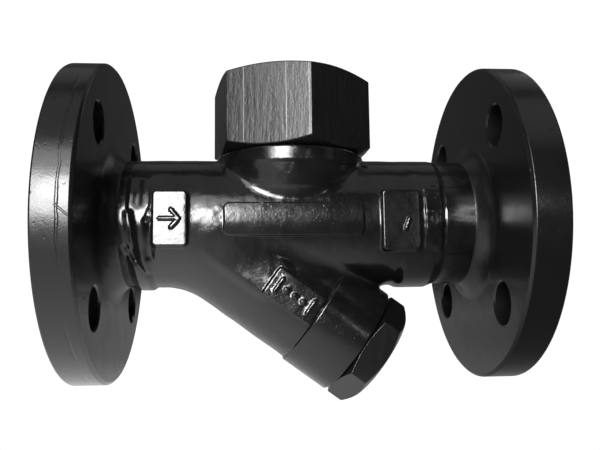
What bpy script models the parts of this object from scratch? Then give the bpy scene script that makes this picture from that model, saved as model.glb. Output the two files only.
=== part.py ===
"""Flanged thermodynamic steam trap with a built-in Y strainer, DN 25.

Lengths in the constants are millimetres and become metres through MM.
X runs along the pipe from inlet (-) to outlet (+), Z is up, and the origin is
the centre of the bounding box, so the pipe axis lies PIPE_Z above it.
"""

import math

import bmesh
import bpy
from mathutils import Matrix, Vector

MM = 0.001

# ---- where the three axes of the casting run
PIPE_Z = 4.0            # height of the pipe axis above the origin
BONNET_X = -2.0         # the vertical axis of the disc chamber
LEG_ANGLE = 36.0        # strainer leg, degrees below the pipe axis towards the outlet
LEG_OFFSET = 22.65      # distance of the leg's zero point from the pipe axis origin, square to the leg

# ---- flanges, DN 25 with 85 mm bolt circle
FACE_TO_FACE = 160.0
FLANGE_OD = 115.0
FLANGE_BACK = 66.0      # distance of the flange's back from the middle
FLANGE_FRONT = 78.0     # front of the rim, before the raised face
RAISED_FACE_D = 68.0
BOLT_CIRCLE = 85.0
BOLT_HOLE_D = 14.0
RIM_EDGE = 0.9

# ---- pipe stubs and their welds
STUB_R = 16.7
BORE_R = 12.5
STUB_IN = 50.0
STUB_OUT = 75.0
SOCKET_R = 17.0
SOCKET_IN = 49.4

# ---- casting
RUN_R = 23.5
END_R = 22.9
RUN_END = 61.5
END_FROM = 50.0
BOSS_R = 27.3
BOSS_TOP = 24.3
SPIGOT_R = 20.4
SPIGOT_TOP = 38.0
POCKET_R = 15.4
POCKET_FLOOR = 29.4
LEG_R = 20.1
LEG_BACK = -24.0
COLLAR_FROM = 24.6
COLLAR_R = 20.9
LEG_END = 43.2
LEG_BORE_R = 15.5
LEG_BORE_FROM = -5.0
THROAT_R = 12.3

# ---- bonnet
CAP_AF = 53.0
CAP_BOTTOM = 24.8
CAP_TOP = 53.6
CAP_CORNER = 11.0       # the corner nearest the front, degrees round from -Y towards +X
DISC_LIFT = 1.5

# ---- strainer plug
PLUG_AF = 36.4
PLUG_SEAT = 43.7
PLUG_TOP = 53.2
PLUG_THREAD_R = 16.4
PLUG_THREAD_FROM = 31.5

GAP = 0.3               # clearance between neighbouring pieces


def clear_scene():
    for obj in list(bpy.data.objects):
        bpy.data.objects.remove(obj, do_unlink=True)


clear_scene()
ASSEMBLY = bpy.data.collections.new("steam_trap_with_strainer")
CUTTERS = bpy.data.collections.new("cutters")
bpy.context.scene.collection.children.link(ASSEMBLY)
bpy.context.scene.collection.children.link(CUTTERS)


# ------------------------------------------------------------------ materials
def material(name, colour, roughness, metallic):
    made = bpy.data.materials.new(name)
    made.use_nodes = True
    shader = made.node_tree.nodes["Principled BSDF"]
    shader.inputs["Base Color"].default_value = (*colour, 1.0)
    shader.inputs["Roughness"].default_value = roughness
    shader.inputs["Metallic"].default_value = metallic
    made.diffuse_color = (*colour, 1.0)
    return made


BLACK_PAINT = material("black_paint_on_casting", (0.012, 0.012, 0.013), 0.34, 0.0)
FLANGE_PAINT = material("black_paint_on_flange", (0.014, 0.014, 0.015), 0.42, 0.0)
WELD_PAINT = material("black_paint_on_weld", (0.016, 0.016, 0.017), 0.38, 0.0)
CAP_BLACK = material("blacked_steel_cap", (0.020, 0.020, 0.021), 0.36, 0.35)
PIPE_STEEL = material("pipe_steel", (0.20, 0.19, 0.18), 0.45, 0.85)
HARD_STEEL = material("ground_hardened_steel", (0.55, 0.55, 0.56), 0.22, 1.0)
STAINLESS = material("stainless_sheet", (0.60, 0.60, 0.60), 0.30, 1.0)
GASKET = material("graphite_gasket", (0.045, 0.045, 0.050), 0.70, 0.10)
SOFT_STEEL = material("soft_steel_gasket", (0.42, 0.40, 0.38), 0.38, 1.0)


# ------------------------------------------------------------------ modelling helpers
def link(obj, collection, parent=None, location=(0, 0, 0), rotation=(0, 0, 0)):
    collection.objects.link(obj)
    obj.parent = parent
    obj.location = Vector(location) * MM
    obj.rotation_euler = [math.radians(a) for a in rotation]
    return obj


def turned(name, profile, steps, collection=CUTTERS, parent=None, location=(0, 0, 0),
           rotation=(0, 0, 0), ring=False):
    """A profile of (radius, height) pairs, outer side running downwards, turned about local Z."""
    mesh = bpy.data.meshes.new(name)
    count = len(profile)
    edges = [(i, i + 1) for i in range(count - 1)] + ([(count - 1, 0)] if ring else [])
    mesh.from_pydata([(r * MM, 0.0, h * MM) for r, h in profile], edges, [])
    obj = link(bpy.data.objects.new(name, mesh), collection, parent, location, rotation)
    screw = obj.modifiers.new("turn", "SCREW")
    screw.axis = "Z"
    screw.angle = 2 * math.pi
    screw.steps = steps
    screw.render_steps = steps
    screw.use_merge_vertices = True
    screw.merge_threshold = 0.00001
    screw.use_smooth_shade = True
    return obj


def rod(name, radius, low, high, steps, **place):
    """A plain cylinder along local Z, as a turned shape."""
    return turned(name, [(0, high), (radius, high), (radius, low), (0, low)], steps, **place)


def prism(name, sides, radius, low, high, corner_deg, collection=CUTTERS, parent=None,
          location=(0, 0, 0), rotation=(0, 0, 0)):
    """A regular prism along local Z with one corner at corner_deg from local X."""
    mesh = bpy.data.meshes.new(name)
    shape = bmesh.new()
    bmesh.ops.create_cone(shape, cap_ends=True, segments=sides, radius1=radius * MM,
                          radius2=radius * MM, depth=(high - low) * MM)
    shape.verts.ensure_lookup_table()
    first = shape.verts[0].co
    turn = math.radians(corner_deg) - math.atan2(first.y, first.x)
    bmesh.ops.rotate(shape, verts=shape.verts, matrix=Matrix.Rotation(turn, 3, "Z"))
    bmesh.ops.translate(shape, verts=shape.verts, vec=(0, 0, (high + low) / 2 * MM))
    shape.to_mesh(mesh)
    shape.free()
    return link(bpy.data.objects.new(name, mesh), collection, parent, location, rotation)


def block(name, size, bevel=0.0, edges="Y", collection=CUTTERS, parent=None, location=(0, 0, 0),
          rotation=(0, 0, 0)):
    """A box whose edges along one axis are rounded."""
    mesh = bpy.data.meshes.new(name)
    shape = bmesh.new()
    bmesh.ops.create_cube(shape, size=1.0)
    bmesh.ops.scale(shape, verts=shape.verts, vec=Vector(size) * MM)
    if bevel:
        axis = "XYZ".index(edges)
        along = [e for e in shape.edges
                 if abs((e.verts[0].co - e.verts[1].co).normalized()[axis]) > 0.9]
        bmesh.ops.bevel(shape, geom=along, offset=bevel * MM, segments=3, profile=0.5,
                        affect="EDGES")
    shape.to_mesh(mesh)
    shape.free()
    return link(bpy.data.objects.new(name, mesh), collection, parent, location, rotation)


def boolean(obj, other, operation):
    step = obj.modifiers.new(operation.lower() + "_" + other.name, "BOOLEAN")
    step.operation = operation
    step.solver = "EXACT"
    step.object = other
    other.hide_render = True
    other.display_type = "WIRE"


def cut(obj, *others):
    for other in others:
        boolean(obj, other, "DIFFERENCE")


def join(obj, *others):
    for other in others:
        boolean(obj, other, "UNION")


def keep_common(obj, other):
    boolean(obj, other, "INTERSECT")


def finish(obj, paint):
    """Turns the modifier stack into the object's own mesh, shaded smooth between sharp edges."""
    bpy.context.view_layer.update()
    graph = bpy.context.evaluated_depsgraph_get()
    mesh = bpy.data.meshes.new_from_object(obj.evaluated_get(graph))
    obj.modifiers.clear()
    obj.data = mesh
    mesh.name = obj.name
    mesh.materials.clear()
    mesh.materials.append(paint)
    mesh.shade_smooth()
    mesh.set_sharp_from_angle(angle=math.radians(32))
    return obj


def empty(name, location, rotation=(0, 0, 0)):
    return link(bpy.data.objects.new(name, None), ASSEMBLY, None, location, rotation)


# ------------------------------------------------------------------ the axes
# local Z of each empty is the axis that its pieces are turned about
INLET_AXIS = empty("inlet_axis", (0, 0, PIPE_Z), (0, -90, 0))
OUTLET_AXIS = empty("outlet_axis", (0, 0, PIPE_Z), (0, 90, 0))
BONNET_AXIS = empty("bonnet_axis", (BONNET_X, 0, PIPE_Z))
LEG_DIRECTION = Vector((math.cos(math.radians(LEG_ANGLE)), 0, -math.sin(math.radians(LEG_ANGLE))))
LEG_NORMAL = Vector((math.sin(math.radians(LEG_ANGLE)), 0, math.cos(math.radians(LEG_ANGLE))))
LEG_ZERO = Vector((0, 0, PIPE_Z)) - LEG_OFFSET * LEG_NORMAL
LEG_AXIS = empty("leg_axis", LEG_ZERO, (0, 90 + LEG_ANGLE, 0))
bpy.context.view_layer.update()


# ------------------------------------------------------------------ body casting
body = turned(
    "body",
    [(0, RUN_END), (END_R - 0.8, RUN_END), (END_R, RUN_END - 0.8), (END_R, END_FROM),
     (RUN_R, END_FROM - 1.6), (RUN_R, -END_FROM + 1.6), (END_R, -END_FROM),
     (END_R, -RUN_END + 0.8), (END_R - 0.8, -RUN_END), (0, -RUN_END)],
    48, ASSEMBLY, None, (0, 0, PIPE_Z), (0, 90, 0))

boss = turned(
    "bonnet_boss",
    [(0, SPIGOT_TOP), (SPIGOT_R - 0.8, SPIGOT_TOP), (SPIGOT_R, SPIGOT_TOP - 0.8),
     (SPIGOT_R, BOSS_TOP), (BOSS_R - 0.9, BOSS_TOP), (BOSS_R, BOSS_TOP - 0.9),
     (BOSS_R, 18.6), (BOSS_R - 0.5, 17.8), (BOSS_R - 1.0, 13.0), (BOSS_R - 2.6, 9.0),
     (BOSS_R - 5.4, 6.0), (BOSS_R - 9.5, 3.5), (0, 3.5)],
    48, parent=BONNET_AXIS)

leg = turned(
    "strainer_leg",
    [(0, LEG_END), (COLLAR_R - 0.7, LEG_END), (COLLAR_R, LEG_END - 0.7),
     (COLLAR_R, COLLAR_FROM + 0.8), (LEG_R, COLLAR_FROM), (LEG_R, LEG_BACK), (0, LEG_BACK)],
    44, parent=LEG_AXIS)

pads = [
    block("left_pad", (11.5, 8.0, 18.9), 1.2, location=(-43.8, -20.35, PIPE_Z - 0.75)),
    block("right_pad", (13.3, 8.0, 20.9), 1.2, location=(34.7, -20.35, PIPE_Z - 1.35)),
    block("name_plate_pad", (48.0, 8.0, 11.3), 1.6, location=(-2.0, -20.25, PIPE_Z - 0.9)),
]
grade_at = LEG_ZERO + 14.2 * LEG_DIRECTION - 0.4 * LEG_NORMAL
pads.append(block("grade_pad", (19.4, 8.0, 10.9), 0.5, rotation=(0, LEG_ANGLE, 0),
                  location=(grade_at.x, -17.2, grade_at.z)))
join(body, boss, leg, *pads)

# flow passages: inlet and outlet bores with weld sockets, throat, screen chamber, riser
pipe_ends = []
for side, axis in (("inlet", INLET_AXIS), ("outlet", OUTLET_AXIS)):
    start = 24.0 if side == "inlet" else 21.0
    pipe_ends.append(turned(
        side + "_bore",
        [(0, RUN_END + 3), (SOCKET_R, RUN_END + 3), (SOCKET_R, SOCKET_IN), (BORE_R, SOCKET_IN),
         (BORE_R, start), (0, start)], 28, parent=axis))
chamber = turned(
    "screen_chamber",
    [(0, LEG_END + 3), (19.2, LEG_END + 3), (19.2, LEG_END - 1.2),
     (PLUG_THREAD_R + 0.35, LEG_END - 1.2), (PLUG_THREAD_R + 0.35, PLUG_THREAD_FROM - 1.2),
     (LEG_BORE_R, PLUG_THREAD_FROM - 2.2), (LEG_BORE_R, LEG_BORE_FROM),
     (THROAT_R, LEG_BORE_FROM), (THROAT_R, -27.0), (0, -27.0)], 32, parent=LEG_AXIS)
pocket = turned(
    "seat_pocket_and_riser",
    [(0, SPIGOT_TOP + 3), (POCKET_R, SPIGOT_TOP + 3), (POCKET_R, POCKET_FLOOR),
     (12.2, POCKET_FLOOR), (12.2, POCKET_FLOOR - 2), (6.2, POCKET_FLOOR - 2),
     (6.2, POCKET_FLOOR), (3.6, POCKET_FLOOR), (3.6, -12.0), (0, -12.0)], 32,
    parent=BONNET_AXIS)
drop_from = Vector((BONNET_X + 9.2, 0, PIPE_Z + POCKET_FLOOR - 1.0))
drop_to = Vector((27.0, 0, PIPE_Z + 2.0))
drop = drop_to - drop_from
discharge = rod("discharge_passage", 3.1, 0, drop.length, 20, location=drop_from,
                rotation=(0, math.degrees(math.atan2(drop.x, drop.z)), 0))
cut(body, *pipe_ends, chamber, pocket, discharge)
finish(body, BLACK_PAINT)


# ------------------------------------------------------------------ flanges, stubs and welds
def flange(name, axis):
    outer, face = FLANGE_OD / 2, FACE_TO_FACE / 2
    made = turned(
        name,
        [(RAISED_FACE_D / 2, face), (RAISED_FACE_D / 2, FLANGE_FRONT),
         (outer - RIM_EDGE, FLANGE_FRONT), (outer, FLANGE_FRONT - RIM_EDGE),
         (outer, FLANGE_BACK + RIM_EDGE), (outer - RIM_EDGE, FLANGE_BACK),
         (STUB_R + GAP, FLANGE_BACK), (STUB_R + GAP, face)],
        64, ASSEMBLY, axis, ring=True)
    for i in range(4):
        angle = math.radians(45 + 90 * i)
        at = (BOLT_CIRCLE / 2 * math.cos(angle), BOLT_CIRCLE / 2 * math.sin(angle), 0)
        cut(made, rod(f"{name}_hole_{i}", BOLT_HOLE_D / 2, FLANGE_BACK - 3, face + 3, 20,
                      parent=axis, location=at))
    return finish(made, FLANGE_PAINT)


for side, axis in (("inlet", INLET_AXIS), ("outlet", OUTLET_AXIS)):
    flange(side + "_flange", axis)
    finish(turned(
        side + "_stub",
        [(STUB_R, STUB_OUT), (STUB_R, STUB_IN), (BORE_R, STUB_IN), (BORE_R, STUB_OUT)],
        32, ASSEMBLY, axis, ring=True), PIPE_STEEL)
    # the fillet runs from the end of the casting out to the back of the flange
    low, high = RUN_END + GAP, FLANGE_BACK - GAP
    throat = [(22.3 + 6.2 * (i / 3) ** 1.9, low + (high - low) * i / 3) for i in range(4)]
    finish(turned(
        side + "_weld", throat[::-1] + [(STUB_R + GAP, low), (STUB_R + GAP, high)],
        44, ASSEMBLY, axis, ring=True), WELD_PAINT)
    finish(turned(
        side + "_seal_weld",
        [(STUB_R, STUB_OUT + 3.2), (STUB_R, STUB_OUT + GAP), (BORE_R + 0.5, STUB_OUT + GAP),
         (BORE_R + 1.4, STUB_OUT + 1.6), (STUB_R - 0.9, STUB_OUT + 3.2)],
        32, ASSEMBLY, axis, ring=True), PIPE_STEEL)


# ------------------------------------------------------------------ seat, disc and covers
finish(turned(
    "seat_outer_gasket",
    [(POCKET_R - GAP, POCKET_FLOOR + 1.1), (POCKET_R - GAP, POCKET_FLOOR + GAP),
     (12.7, POCKET_FLOOR + GAP), (12.7, POCKET_FLOOR + 1.1)],
    36, ASSEMBLY, BONNET_AXIS, ring=True), GASKET)
finish(turned(
    "seat_inner_gasket",
    [(5.8, POCKET_FLOOR + 1.1), (5.8, POCKET_FLOOR + GAP), (3.9, POCKET_FLOOR + GAP),
     (3.9, POCKET_FLOOR + 1.1)],
    28, ASSEMBLY, BONNET_AXIS, ring=True), GASKET)

SEAT_LOW = POCKET_FLOOR + 1.4
SEAT_HIGH = 37.0
seat = turned(
    "seat",
    [(POCKET_R - GAP, SEAT_HIGH - 0.6), (POCKET_R - GAP, SEAT_LOW), (3.2, SEAT_LOW),
     (3.2, SEAT_HIGH), (5.0, SEAT_HIGH), (5.0, SEAT_HIGH - 1.4), (8.5, SEAT_HIGH - 1.4),
     (8.5, SEAT_HIGH), (9.9, SEAT_HIGH), (9.9, SEAT_HIGH - 0.6)],
    32, ASSEMBLY, BONNET_AXIS, ring=True)
for i in range(3):
    angle = math.radians(30 + 120 * i)
    cut(seat, rod(f"seat_hole_{i}", 1.1, SEAT_LOW - 1, SEAT_HIGH + 1, 14, parent=BONNET_AXIS,
                  location=(7.2 * math.cos(angle), 7.2 * math.sin(angle), 0)))
finish(seat, HARD_STEEL)

DISC_LOW = SEAT_HIGH + GAP
DISC_THICK = 2.8
disc = finish(turned(
    "disc",
    [(0, DISC_THICK), (9.2, DISC_THICK), (9.6, DISC_THICK - 0.4), (9.6, 0), (7.6, 0),
     (7.6, 0.5), (7.0, 0.5), (7.0, 0), (0, 0)],
    40, ASSEMBLY, BONNET_AXIS, (0, 0, DISC_LOW)), HARD_STEEL)

finish(turned(
    "inner_cover",
    [(0, 46.2), (13.2, 46.2), (POCKET_R - GAP, 44.6), (POCKET_R - GAP, SEAT_HIGH - GAP),
     (11.4, SEAT_HIGH - GAP), (11.4, 41.2), (10.2, 42.2), (0, 42.2)],
    40, ASSEMBLY, BONNET_AXIS), HARD_STEEL)

finish(turned(
    "cap_gasket",
    [(24.4, BOSS_TOP + 1.8), (24.4, BOSS_TOP + GAP), (21.2, BOSS_TOP + GAP),
     (21.2, BOSS_TOP + 1.8)],
    48, ASSEMBLY, BONNET_AXIS, ring=True), SOFT_STEEL)


def hexagon(name, across_flats, low, high, corner_deg, parent, low_drop, high_drop):
    """A hexagon with both ends turned: the cones start at the flats' inscribed circle."""
    corner = across_flats / math.sqrt(3)
    flat = across_flats / 2
    made = prism(name, 6, corner, low, high, corner_deg, ASSEMBLY, parent)
    reach = corner + 1.0
    slope_low = low_drop / (corner - flat)
    slope_high = high_drop / (corner - flat)
    keep_common(made, turned(
        name + "_turning",
        [(0, high + 0.5), (flat - 0.8 - 0.5 / slope_high, high + 0.5),
         (reach, high - slope_high * (reach - flat + 0.8)),
         (reach, low + slope_low * (reach - flat + 0.8)),
         (flat - 0.8 - 0.5 / slope_low, low - 0.5), (0, low - 0.5)],
        72, parent=parent))
    return made


cap = hexagon("cap", CAP_AF, CAP_BOTTOM, CAP_TOP, CAP_CORNER - 90, BONNET_AXIS, 2.6, 1.5)
cut(cap, turned(
    "cap_bore",
    [(0, 46.6), (17.4, 46.6), (17.4, 40.8), (SPIGOT_R + 0.4, 39.4),
     (SPIGOT_R + 0.4, BOSS_TOP + 2.1), (24.8, BOSS_TOP + 2.1), (24.8, CAP_BOTTOM - 2),
     (0, CAP_BOTTOM - 2)], 48, parent=BONNET_AXIS))
finish(cap, CAP_BLACK)


# ------------------------------------------------------------------ strainer
finish(turned(
    "strainer_screen",
    [(12.3, 36.9), (12.3, -4.6), (11.6, -4.6), (11.6, 36.9)],
    48, ASSEMBLY, LEG_AXIS, ring=True), STAINLESS)
finish(turned(
    "screen_top_ring",
    [(LEG_BORE_R - GAP, -1.7), (LEG_BORE_R - GAP, -4.7), (12.6, -4.7), (12.6, -1.7)],
    40, ASSEMBLY, LEG_AXIS, ring=True), STAINLESS)
finish(turned(
    "screen_bottom_ring",
    [(13.7, 37.0), (13.7, 33.0), (12.6, 33.0), (12.6, 37.0)],
    40, ASSEMBLY, LEG_AXIS, ring=True), STAINLESS)

finish(turned(
    "plug_gasket",
    [(18.9, PLUG_SEAT - GAP), (18.9, LEG_END - 0.9), (PLUG_THREAD_R + GAP + 0.2, LEG_END - 0.9),
     (PLUG_THREAD_R + GAP + 0.2, PLUG_SEAT - GAP)],
    44, ASSEMBLY, LEG_AXIS, ring=True), SOFT_STEEL)

plug = hexagon("strainer_plug", PLUG_AF, PLUG_SEAT, PLUG_TOP, 0, LEG_AXIS, 1.2, 1.6)
join(plug, turned(
    "plug_shank",
    [(0, PLUG_SEAT + 2), (PLUG_THREAD_R, PLUG_SEAT + 2), (PLUG_THREAD_R, PLUG_THREAD_FROM + 0.8),
     (PLUG_THREAD_R - 0.8, PLUG_THREAD_FROM), (0, PLUG_THREAD_FROM)], 44, parent=LEG_AXIS))
cut(plug, rod("plug_recess", 14.0, PLUG_THREAD_FROM - 2, 37.3, 40, parent=LEG_AXIS))
finish(plug, CAP_BLACK)


# ------------------------------------------------------------------ tidy up
for obj in list(CUTTERS.objects):
    bpy.data.objects.remove(obj, do_unlink=True)
bpy.data.collections.remove(CUTTERS)
bpy.context.view_layer.update()
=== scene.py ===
"""Looks of the flanged steam trap with built-in Y strainer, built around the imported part.

Lengths are millimetres and heights count from the pipe axis until a mesh is
made. Every piece is drawn from profiles and distance formulas.
"""

import math

import bmesh
import bpy
import numpy as np
from mathutils import Matrix, Vector


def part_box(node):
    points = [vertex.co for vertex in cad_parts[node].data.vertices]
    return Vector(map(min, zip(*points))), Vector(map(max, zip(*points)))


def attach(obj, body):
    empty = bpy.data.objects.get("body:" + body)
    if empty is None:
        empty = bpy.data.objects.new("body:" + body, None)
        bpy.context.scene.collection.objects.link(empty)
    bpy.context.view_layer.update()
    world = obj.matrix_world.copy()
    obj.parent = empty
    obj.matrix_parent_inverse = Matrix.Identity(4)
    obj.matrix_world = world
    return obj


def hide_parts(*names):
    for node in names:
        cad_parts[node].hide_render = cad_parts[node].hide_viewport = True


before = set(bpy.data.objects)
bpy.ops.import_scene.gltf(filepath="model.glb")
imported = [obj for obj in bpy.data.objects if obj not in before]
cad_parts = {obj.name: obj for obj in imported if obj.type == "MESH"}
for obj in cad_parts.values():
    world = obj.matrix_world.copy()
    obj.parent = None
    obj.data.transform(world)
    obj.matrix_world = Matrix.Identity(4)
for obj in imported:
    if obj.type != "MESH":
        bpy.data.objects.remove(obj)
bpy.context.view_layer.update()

MM = 0.001
_low, _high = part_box("inlet_flange")
PIPE_Z = (_low.z + _high.z) / 2 / MM

BONNET_X = -2.0
LEG_TURN = math.radians(36)
A = np.array([math.cos(LEG_TURN), 0.0, -math.sin(LEG_TURN)])
N = np.array([math.sin(LEG_TURN), 0.0, math.cos(LEG_TURN)])
LEG0 = -22.65 * N
PITCH = 2.0


# ------------------------------------------------------------------ number helpers
def smin(a, b, k):
    h = np.clip(0.5 + 0.5 * (b - a) / k, 0.0, 1.0)
    return b * (1 - h) + a * h - k * h * (1 - h)


def smax(a, b, k):
    return -smin(-a, -b, k)


def step(a, b, x):
    t = np.clip((x - a) / (b - a), 0.0, 1.0)
    return t * t * (3 - 2 * t)


def window(x, low, high, soft):
    return step(low - soft, low + soft, x) * (1 - step(high - soft, high + soft, x))


def noise(p, scale, seed):
    """Smooth value noise in -1..1 on points (n, 3)."""
    table = np.random.default_rng(seed).uniform(-1, 1, 4096)
    q = p / scale + 1000.37 + seed * 17.1
    cell = np.floor(q).astype(np.int64)
    f = q - cell
    f = f * f * (3 - 2 * f)
    out = np.zeros(len(p))
    for dx in (0, 1):
        wx = f[:, 0] if dx else 1 - f[:, 0]
        for dy in (0, 1):
            wy = f[:, 1] if dy else 1 - f[:, 1]
            for dz in (0, 1):
                wz = f[:, 2] if dz else 1 - f[:, 2]
                key = ((cell[:, 0] + dx) * 73856093) ^ ((cell[:, 1] + dy) * 19349663) ^ ((cell[:, 2] + dz) * 83492791)
                out += table[key & 4095] * wx * wy * wz
    return out


def drum(r, t, radius, low, high, edge):
    """Distance to a cylinder with rounded rims, from radial and axial coordinates."""
    dr = r - (radius - edge)
    dt = np.abs(t - (low + high) / 2) - ((high - low) / 2 - edge)
    return np.minimum(np.maximum(dr, dt), 0) + np.hypot(np.maximum(dr, 0), np.maximum(dt, 0)) - edge


def plate(u, v, half_u, half_v, corner):
    du, dv = np.abs(u) - (half_u - corner), np.abs(v) - (half_v - corner)
    return np.minimum(np.maximum(du, dv), 0) + np.hypot(np.maximum(du, 0), np.maximum(dv, 0)) - corner


def slab(u, v, w, half_u, half_v, half_w, corner, edge):
    """Distance to a plate with rounded corners in u, v and rounded rims towards w."""
    d = plate(u, v, half_u, half_v, corner) + edge
    e = np.abs(w) - (half_w - edge)
    return np.minimum(np.maximum(d, e), 0) + np.hypot(np.maximum(d, 0), np.maximum(e, 0)) - edge


def bar(u, v, a, b):
    """Distance in the plane to the segment from a to b."""
    ax, ay = a
    bx, by = b
    dx, dy = bx - ax, by - ay
    t = np.clip(((u - ax) * dx + (v - ay) * dy) / max(dx * dx + dy * dy, 1e-9), 0, 1)
    return np.hypot(u - ax - t * dx, v - ay - t * dy)


def ridge(turns):
    """Thread form: 1 on the crest, 0 in the root; turns counts pitches along the helix."""
    t = np.abs(np.mod(turns, 1.0) - 0.5) * 2
    return np.clip((0.80 - t) / 0.62, 0, 1)


# ------------------------------------------------------------------ the casting as one distance field
def casting(p, fine):
    x, y, z = p[:, 0], p[:, 1], p[:, 2]
    pipe = np.hypot(y, z)
    arc = 23.5 * np.arctan2(z, -y)
    below = np.where(arc > 37, arc - 147.6, arc)
    s = (x - LEG0[0]) * A[0] + (z - LEG0[2]) * A[2]
    n = (x - LEG0[0]) * N[0] + (z - LEG0[2]) * N[2]
    leg = np.hypot(y, n)
    bx = x - BONNET_X
    bonnet = np.hypot(bx, y)

    # straight run: lumpy bands where the cast run passes into the smooth ends
    run_r = np.interp(x, [-61.5, -57.0, -49.5, 41.0, 49.2, 50.8, 61.5],
                      [23.2, 23.25, 23.35, 23.35, 23.3, 23.0, 23.0])
    swell = 1.15 * window(x, -57.2, -51.6, 1.1) * window(below, -52, -15, 6)
    swell += 0.95 * window(x, 36.0, 48.6, 1.6) * window(below, -52, -20, 6)
    swell += 0.35 * window(x, -57.9, -50.4, 0.6) * window(arc, -18, 13, 4)
    edge = arc + 1.3 * noise(p, 5.0, 11)
    swell += 0.42 * window(x, 43.3, 49.3, 0.45) * window(edge, -12.0, 11.0, 2.2)
    if fine:
        swell += 0.18 * window(x, -57.0, -50.6, 0.9) * window(arc, -19, 9, 3) * noise(p, 3.6, 5)
        swell += 0.28 * window(x, 42.8, 50.0, 0.6) * window(arc, -14, 13, 2) * noise(p, 2.2, 8)
        swell -= 0.26 * np.exp(-((x - 50.25) / 0.55) ** 2) * window(edge, -12, 9, 2) * (1 + 0.9 * noise(p, 2.0, 9))
        # furrows of the left band: a forked ridge stands between them, and a lobe hangs below
        for a, b, deep, wide in (((-57.5, 1.0), (-55.8, -15.0), 0.85, 1.3), ((-50.8, -2.0), (-51.2, -14.0), 0.80, 1.35),
                                 ((-54.7, 13.0), (-54.6, 4.8), 0.32, 1.6), ((-50.4, 3.0), (-52.2, -1.8), 0.35, 0.6),
                                 ((-58.3, -10.5), (-52.2, -22.0), 0.50, 0.95)):
            swell -= deep * np.exp(-(bar(x, arc, a, b) / wide) ** 2)
    d = smax(pipe - run_r - swell, np.abs(x) - 61.5, 0.3)

    # bonnet boss, flared into the run
    boss_r = np.interp(z, [0.0, 3.0, 5.2, 7.0, 8.4, 10.6, 13.8, 18.6], [12.0, 16.4, 19.7, 21.9, 23.2, 24.7, 25.9, 26.95])
    taper = np.maximum((bonnet - boss_r) * 0.82, np.maximum(z - 19.5, -z))
    d = smin(d, taper, 2.6)
    d = smin(d, drum(bonnet, z, 27.3, 18.5, 24.0, 0.8), 0.3)

    # strainer leg with its collar
    d = smin(d, drum(leg, s, 20.1, -24.0, 40.0, 3.0), 5.0)
    web = slab(s + 6.8, n - 0.2, y + 15.2, 16.2, 7.6, 4.9, 4.5, 2.4)
    d = smin(d, web, 2.0)
    collar = drum(leg, s, 20.9, 24.5, 43.2, 0.55)
    d = smin(d, collar, 0.5)

    # cast pads on the front
    left = slab(x + 43.75, z + 0.75, y + 20.3, 5.75, 9.45, 4.0, 1.5, 0.55)
    right = slab(x - 34.75, z + 1.35, y + 20.3, 6.65, 10.45, 4.0, 1.6, 0.6)
    name = slab(x + 2.0, z + 0.9, pipe - 19.85, 23.9, 5.6, 4.0, 2.2, 0.22)
    name = np.maximum(name, y)
    grade = slab(s - 14.2, n + 0.4, y + 17.55, 9.75, 5.5, 4.0, 0.9, 0.5)
    if fine:
        # flow arrow on the left pad
        sign = np.minimum(bar(x, z, (-47.1, -0.75), (-41.2, -0.75)),
                          np.minimum(bar(x, z, (-40.8, -0.75), (-43.3, 2.2)),
                                     bar(x, z, (-40.8, -0.75), (-43.3, -3.7)))) - 0.62
        left = smin(left, smax(sign, np.abs(y + 22) - 2.85, 0.35), 0.25)
        # a plain slanting bar on the right pad
        sign = bar(x, z, (36.1, -4.4), (37.3, -1.2)) - 0.62
        right = smin(right, smax(sign, np.abs(y + 22) - 2.85, 0.35), 0.25)
        # row of studs between two bars on the leg pad
        u, v = s - 14.2, n + 0.4
        sign = np.minimum(bar(u, v, (-6.6, -2.6), (-6.6, 2.6)), bar(u, v, (6.6, -2.6), (6.6, 2.6))) - 0.6
        for at in (-3.4, 0.0, 3.4):
            sign = np.minimum(sign, np.hypot(u - at, v) - 1.05)
        grade = smin(grade, smax(sign, np.abs(y + 19.35) - 2.7, 0.35), 0.25)
    for pad, blend in ((left, 0.9), (right, 0.9), (name, 0.2), (grade, 0.4)):
        d = smin(d, pad, blend)

    if fine:
        rough = window(x, -57.6, 49.8, 0.5) * (1 - step(23.0, 24.0, z)) * (1 - step(42.0, 43.0, s))
        quiet = 1 - 0.75 * step(24.0, 25.5, s)
        for pad in (left, right, name, grade):
            quiet = quiet * (1 - 0.6 * (1 - step(0.1, 0.7, pad)))
        d = d - rough * quiet * (0.11 * noise(p, 6.5, 1) + 0.040 * noise(p, 2.4, 2) + 0.012 * noise(p, 1.2, 3))

    # machined spigot with its thread
    if fine:
        turn = np.arctan2(y, bx) / (2 * math.pi)
        thread = 19.77 + 1.13 * ridge(z / PITCH - turn) * window(z, 26.4, 37.3, 0.3)
    else:
        thread = 20.4
    d = smin(d, smax(bonnet - thread, np.abs(z - 29.0) - 9.0, 0.6), 0.3)

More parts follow.
